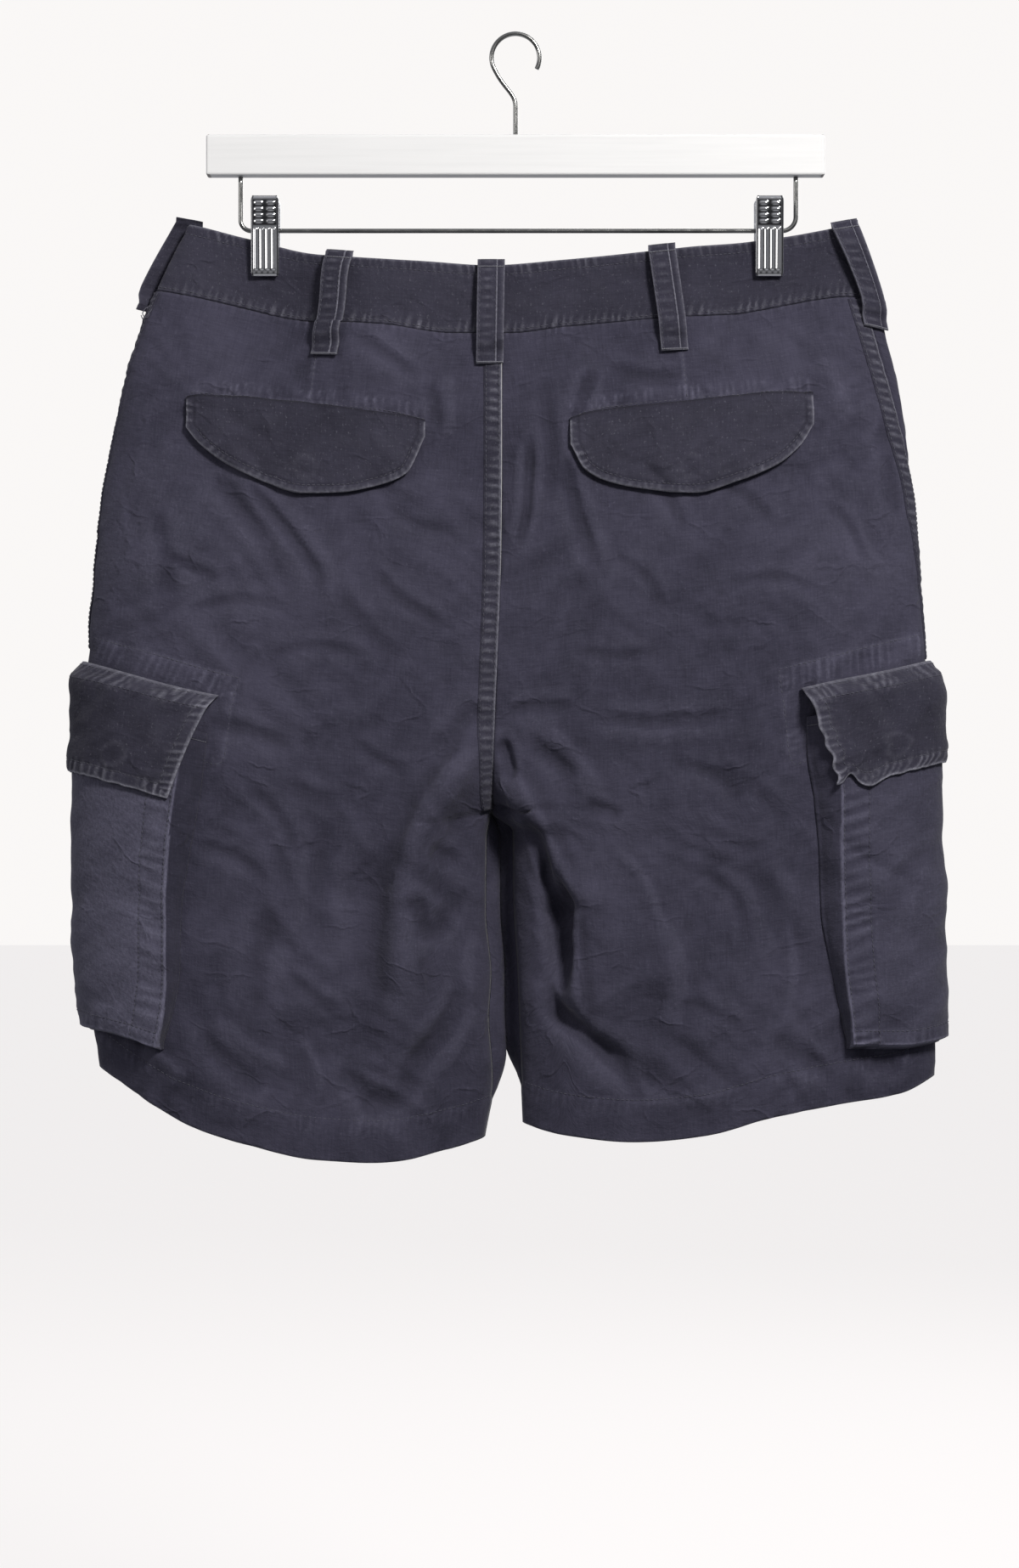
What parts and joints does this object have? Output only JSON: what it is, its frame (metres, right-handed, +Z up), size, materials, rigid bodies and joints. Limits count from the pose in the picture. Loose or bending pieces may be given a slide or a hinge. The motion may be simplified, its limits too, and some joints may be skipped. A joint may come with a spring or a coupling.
{
  "type": "cargo shorts on a clip hanger",
  "caption": "Knee-length canvas cargo shorts hung by the waistband from a flat-bar clip hanger; open waist and legs, flapped back pockets, belt loops and side cargo pockets.",
  "frame": {"origin": "underside of the hanger hook's crown, where the hook rests on a rail or knob", "axes": "+Z up along the hanger's stem, +X to the right as the back is seen, +Y towards the front of the shorts; the back faces -Y"},
  "size_m": [0.5705, 0.0913, 0.7287],
  "materials": {
    "canvas": "washed cotton canvas, matt",
    "canvas_trim": "washed cotton canvas in two layers, topstitched",
    "button": "satin resin",
    "painted_bar": "white satin paint on wood",
    "wire": "bright",
    "clip": "bright, stamped sheet"
  },
  "bodies": {
    "root": {"back_left": "canvas", "back_right": "canvas", "front_left": "canvas", "front_right": "canvas", "cargo_pocket_left": "canvas", "cargo_pocket_right": "canvas", "waistband_back": "canvas_trim", "waistband_front_left": "canvas_trim", "waistband_front_right": "canvas_trim", "belt_loop_back_left": "canvas_trim", "belt_loop_back_centre": "canvas_trim", "belt_loop_back_right": "canvas_trim", "belt_loop_side_left": "canvas_trim", "belt_loop_side_right": "canvas_trim", "belt_loop_front_left": "canvas_trim", "belt_loop_front_right": "canvas_trim", "back_flap_left": "canvas_trim", "back_flap_right": "canvas_trim", "cargo_flap_left": "canvas_trim", "cargo_flap_right": "canvas_trim", "fly": "canvas_trim", "waist_button": "button", "hanger_bar": "painted_bar", "hanger_hook": "wire", "hanger_wire": "wire", "clip_jaw_back_left": "clip", "clip_jaw_back_right": "clip", "clip_jaw_front_left": "clip", "clip_jaw_front_right": "clip", "clip_spring_left": "clip", "clip_spring_right": "clip"}
  },
  "joints": []
}
